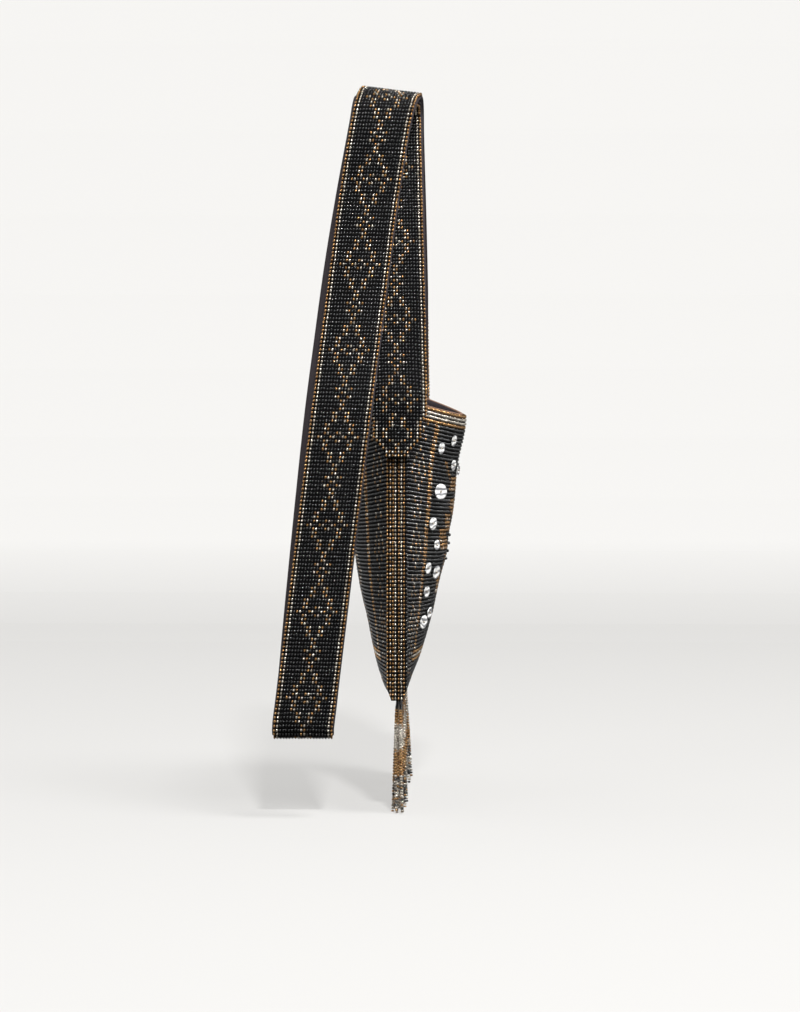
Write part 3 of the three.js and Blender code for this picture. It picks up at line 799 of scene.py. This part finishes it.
# rows lie level where the strap hangs; some stretches, as (from, to, pitch), are a little tighter or looser
rowSetting = {"repeat": 22, "widest": 35.25, "endPitch": 2.24, "lap": 0.12,
              "stretches": ((155.0, 240.0, 2.26), (250.0, 650.0, 2.262), (820.0, 1010.0, 2.42))}
endChevrons = {  # the rows below the first widest row, down to the end's border
    1: (5, 9, 13), 2: (5, 13), 3: (5, 13), 4: (8,), 5: (7, 11), 6: (7, 11), 7: (7, 11), 8: (5, 13),
    9: (5, 13), 10: (5, 13), 11: (7, 11), 12: (9,), 13: (9,)}


def strapRows():
    places = [rowSetting["widest"]]
    while places[-1] < strapLength:
        own = [pitch for low, high, pitch in rowSetting["stretches"] if low < places[-1] < high]
        places.append(places[-1] + (own[0] if own else strap["rowPitch"]))
    before = int(places[0] // rowSetting["endPitch"])
    start = [places[0] - rowSetting["endPitch"] * k for k in range(before, 0, -1)]
    return np.array(start + places[:-1]), before


def strapChart(column, row, widest, first, last):
    colours = np.zeros(column.shape, int)
    step = (widest - row) % rowSetting["repeat"]
    atEnd = np.where(row < widest, widest - row, -1)
    charts = [(chevrons, np.where(atEnd > 0, -1, step)), (endChevrons, atEnd)]
    marks = [(number, pairs, where) for chart, where in charts for number, pairs in chart.items()]
    for number, pairs, where in marks:
        for pair in pairs:
            flip = (number not in swappedRows) == (pair <= 9)
            hit = where == number
            colours[hit & (column == pair)] = 1 if flip else 2
            colours[hit & (column == pair + 1)] = 2 if flip else 1
    colours[(column == first + 1) | (column == last - 1)] = 2
    colours[(column == first) | (column == last)] = 1
    lowest = atEnd >= widest - 1
    colours[lowest] = np.where((column + row) % 2 == 0, 1, 2)[lowest]
    return colours


def makeStrap():
    rowPlaces, widest = strapRows()
    column, row = np.meshgrid(np.arange(strap["columns"]), np.arange(len(rowPlaces)), indexing="ij")
    column, row = column.ravel(), row.ravel()
    half = (strap["columns"] - 1) / 2
    arc = (half - column) * strap["pitch"]
    straight = rowPlaces[row]
    frames = strapFrame(straight)
    fall, sag = frames[1][:, 2], frames[2][:, 2]
    distance = np.clip(straight - arc * sag * fall / (fall ** 2 + rowSetting["lap"]), strap["endRoom"],
                       strapLength - strap["endRoom"])
    room = endShare(straight) * halfStrap
    keep = np.abs(arc) < room
    column, row, distance, arc, room = column[keep], row[keep], distance[keep], arc[keep], room[keep]
    first = np.maximum(np.ceil(half - room / strap["pitch"]).astype(int), 0)
    at, hole, along, out = bandPoint(distance, arc, np.full(len(arc), pouch["gap"] / 2 + pouch["bead"] / 2))
    colours = strapChart(column, row, widest, first, strap["columns"] - 1 - first)
    pitches = np.gradient(rowPlaces)[row][:, None]
    sizes = (bead["long"], pitches * bead["share"], bead["thick"])
    layBeads("strap", at, hole, along, out, colours, sizes, "strap_beadwork")

    def band(off, share):
        def place(u, v):
            distance = strap["clothRoom"] + v * (strapLength - 2 * strap["clothRoom"])
            arc = (u * 2 - 1) * halfStrap * share * endShare(distance)
            return bandPoint(distance, arc, np.full(len(u), off))[0]
        return place

    steps = (strap["clothColumns"], int(strapLength / strap["clothStep"]))
    wider = strap["lining"] / strap["width"]
    # a near-black thread sheet under the strap's beads, partly thread and partly painted shade in the gaps
    sheetPiece("strapThread", *steps, (strap["width"], strapLength), band(strap["matOff"], strap["matShare"]),
               mat["thick"], threadWithPaintedGapShade, "bead_thread", "strap_beadwork")
    lining = sheetPiece("strapLining", *steps, (strap["lining"], strapLength), band(strap["clothOff"], wider),
                        strap["clothThick"], clothPaint, "lining_cloth", "strap_lining")


makeStrap()
print("strap made, length", round(float(strapLength)), "mm")


# The cloth bag inside and the edge round the mouth

bagCloth = {"round": 96, "up": 40, "thick": 0.8, "past": 0.002, "tiny": 0.001, "edgeShare": 0.9}
binding = {"radius": 0.6, "lift": 0.4, "ripple": 0.12, "stitches": 150, "sides": 8, "round": 600,
           "girth": 6.0}


def roundMouth(turn, height, inset, sideInset):  # once round the bag: over the front and back again
    across = np.where(turn < 0.5, turn * 4 - 1, 3 - turn * 4)
    front, back = [pouchPoint(side, across, height, inset, sideInset) for side in (-1, 1)]
    return across, np.where((turn < 0.5)[:, None], front, back)


def liningPoint(u, v):
    inset = wall + pouch["cloth"] / 2
    low = pouch["liningFloor"] / pouch["height"]
    height = low + (panel["top"] + bagCloth["past"] - low) * v
    across, spot = roundMouth(u, height, inset, inset + pouch["crease"])
    spot[:, 1] *= np.where(v < bagCloth["tiny"], 0.0, 1.0)  # front and back meet at the bottom seam
    edge = np.abs(np.abs(across) - 1) < bagCloth["tiny"]
    spot[:, 1] *= np.where(edge, bagCloth["edgeShare"], 1.0)
    return spot


def bindingPoint(u, v):
    angle = u * 2 * math.pi
    middle = wall + pouch["cloth"] / 2
    radius = binding["radius"] * (1 + binding["ripple"] * np.cos(v * binding["stitches"] * 2 * math.pi))
    spot = roundMouth(v, np.full(len(u), panel["top"]), middle + radius * np.cos(angle), middle)[1]
    spot[:, 2] += binding["lift"] + radius * np.sin(angle)
    return spot


lining = sheetPiece("pouchLining", bagCloth["round"], bagCloth["up"], (2 * pouch["width"], pouch["height"]),
                    liningPoint, bagCloth["thick"], clothPaint, "lining_cloth", "pouch_lining", closed=True)
sheetPiece("mouthBinding", binding["sides"], binding["round"], (binding["girth"], 2 * pouch["width"]),
           bindingPoint, 0.0, threadPaint, "brown_thread", "mouth_binding", closed=True)
print("lining and binding made")


# Paillettes: small cupped discs, each held by one bead

paillettes = [  # across, height, radius, turn outwards in degrees
    (0.455, 0.92, 3.6, 4), (0.64, 0.885, 3.6, 4), (0.365, 0.833, 3.4, 9), (0.16, 0.815, 3.2, 9),
    (0.63, 0.73, 4.8, 27), (0.685, 0.615, 4.0, 10), (0.58, 0.539, 3.2, 13), (0.695, 0.456, 3.6, 8),
    (0.5, 0.44, 4.4, 12), (0.672, 0.372, 3.4, 14), (0.5, 0.292, 3.6, 14), (0.68, 0.264, 4.2, 18)]
disc = {"profile": [(0.0, 0.0, 0.1), (0.3, 0.0, 0.12), (0.75, 0.0, 0.26), (1.0, 0.0, 0.36), (0.97, 0.0, 0.24),
                    (0.7, 0.0, 0.1), (0.0, 0.0, -0.04)], "steps": 16, "deep": 2.2, "lift": 0.25,
        "turnLift": 0.9, "bead": 1.3, "beadLift": 0.9, "beadTone": 0.2}
raised = {"places": [(-0.01, 0.567), (-0.03, 0.537), (-0.1, 0.51), (-0.12, 0.482)],  # across, height
          "size": 2.1, "inset": -0.2, "tone": 0.6}


def discShape():
    bm = bmesh.new()
    verts = [bm.verts.new(point) for point in disc["profile"]]
    edges = [bm.edges.new(pair) for pair in zip(verts[:-1], verts[1:])]
    bmesh.ops.spin(bm, geom=verts + edges, cent=(0, 0, 0), axis=(0, 0, 1), angle=2 * math.pi,
                   steps=disc["steps"], use_merge=True)
    bmesh.ops.remove_doubles(bm, verts=bm.verts, dist=0.0001)
    bmesh.ops.recalc_face_normals(bm, faces=bm.faces)
    return takeShape(bm)


def makePaillettes():
    across, height, radius, turn = np.array([(half * row[0], *row[1:]) for row in paillettes
                                             for half in (-1, 1)]).T
    small = panel["step"]
    at = pouchPoint(-1, across, height)
    hole = unit(pouchPoint(-1, across + small, height) - pouchPoint(-1, across - small, height))
    up = unit(pouchPoint(-1, across, height + small) - pouchPoint(-1, across, height - small))
    out = unit(np.cross(hole, up))
    angle = np.radians(turn)[:, None]
    lift = disc["lift"] + disc["turnLift"] * radius * np.sin(angle[:, 0])
    facing = unit(out * np.cos(angle) + hole * np.sign(across)[:, None] * np.sin(angle))
    side = unit(np.cross(up, facing))
    spots = at + out * lift[:, None]
    axes = (side * radius[:, None], np.cross(facing, side) * radius[:, None], facing * disc["deep"])
    piece = repeatShape("paillettes", discShape(), spots, axes, pearlAndPaintedShinePaint)
    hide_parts("front_panel")
    axes = [axis * disc["bead"] for axis in (side, np.cross(facing, side), facing)]
    holders = repeatShape("pailletteBeads", beadForm, spots + facing * disc["beadLift"], axes,
                          beadPaint["silver"], np.full(len(at), disc["beadTone"]))
    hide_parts("front_panel")
    across, height = np.array(raised["places"]).T
    spots = pouchPoint(-1, across, height, raised["inset"])
    level = np.tile((raised["size"], 0.0, 0.0), (len(spots), 1))
    studs = repeatShape("raisedBeads", beadForm, spots, (level, level[:, [1, 2, 0]], level[:, [1, 0, 2]]),
                        beadPaint["black"], np.full(len(spots), raised["tone"]))
    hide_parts("front_panel")


makePaillettes()
print("paillettes made")


# The fringe: single strands of beads from the bottom edge

fringe = {"strands": 110, "length": 69.6, "width": 180.0, "pitch": 1.74, "spread": 1.25, "sway": 1.6,
          "aside": -0.9, "bow": 0.8, "swayAcross": 0.35, "bowAcross": 0.4, "shortest": 0.985, "uneven": 0.02,
          "gap": 0.3, "fill": 0.92, "thick": 2.0}
fringeWave = {  # where the pattern starts along the width, its bands down a strand, and the mix below them
    "places": (0, 0.1, 0.3, 0.5, 0.7, 0.9, 1), "starts": (4.5, 12.4, -2, 12.4, -2, 12.4, 4.5),
    "bands": (0, 9, 24, 40), "colours": (0, 1, 2, 1), "mix": (0.3, 0.15, 0.55)}


def makeFringe():
    places = []
    for number in range(fringe["strands"]):
        along = (number + 0.5) / fringe["strands"]
        side = 1 if number % 2 else -1
        lean = dice.normal(0, fringe["sway"], 2)
        bow = dice.normal(0, fringe["bow"], 2)
        length = fringe["length"] * (fringe["shortest"] + fringe["uneven"] * dice.random())
        count = int(length / fringe["pitch"])
        share = (np.arange(count) + 0.5) / count
        curve = np.sin(math.pi * share)
        xs = pouch["offset"] + fringe["width"] * (along - 0.5)
        xs = xs + lean[0] * fringe["swayAcross"] * share ** 2 + bow[0] * fringe["bowAcross"] * curve
        ys = fringe["aside"] + side * fringe["spread"] * (0.5 + 0.5 * smoothStep(share, 0, 0.1))
        ys += lean[1] * share ** 1.5 + bow[1] * curve
        down = share * count * fringe["pitch"]
        depth = down - np.interp(along, fringeWave["places"], fringeWave["starts"])
        colours = np.select([depth < band for band in fringeWave["bands"]], fringeWave["colours"], 0)
        mixed = dice.choice(len(names), count, p=fringeWave["mix"])
        colours = np.where(depth > fringeWave["bands"][-1], mixed, colours)
        places.append(np.column_stack([xs, ys, bottomZ - fringe["gap"] - down, colours]))
    beads = np.vstack(places)
    at, colours = beads[:, :3], beads[:, 3].astype(int)
    ways = ((0.0, 0.0, -1.0), (1.0, 0.0, 0.0), (0.0, -1.0, 0.0))
    hole, across, out = [np.tile(way, (len(at), 1)) for way in ways]
    sizes = (fringe["pitch"] * fringe["fill"], fringe["thick"], fringe["thick"])
    layBeads("fringe", at, hole, across, out, colours, sizes, "fringe")


makeFringe()
print("fringe made")


bpy.context.view_layer.update()
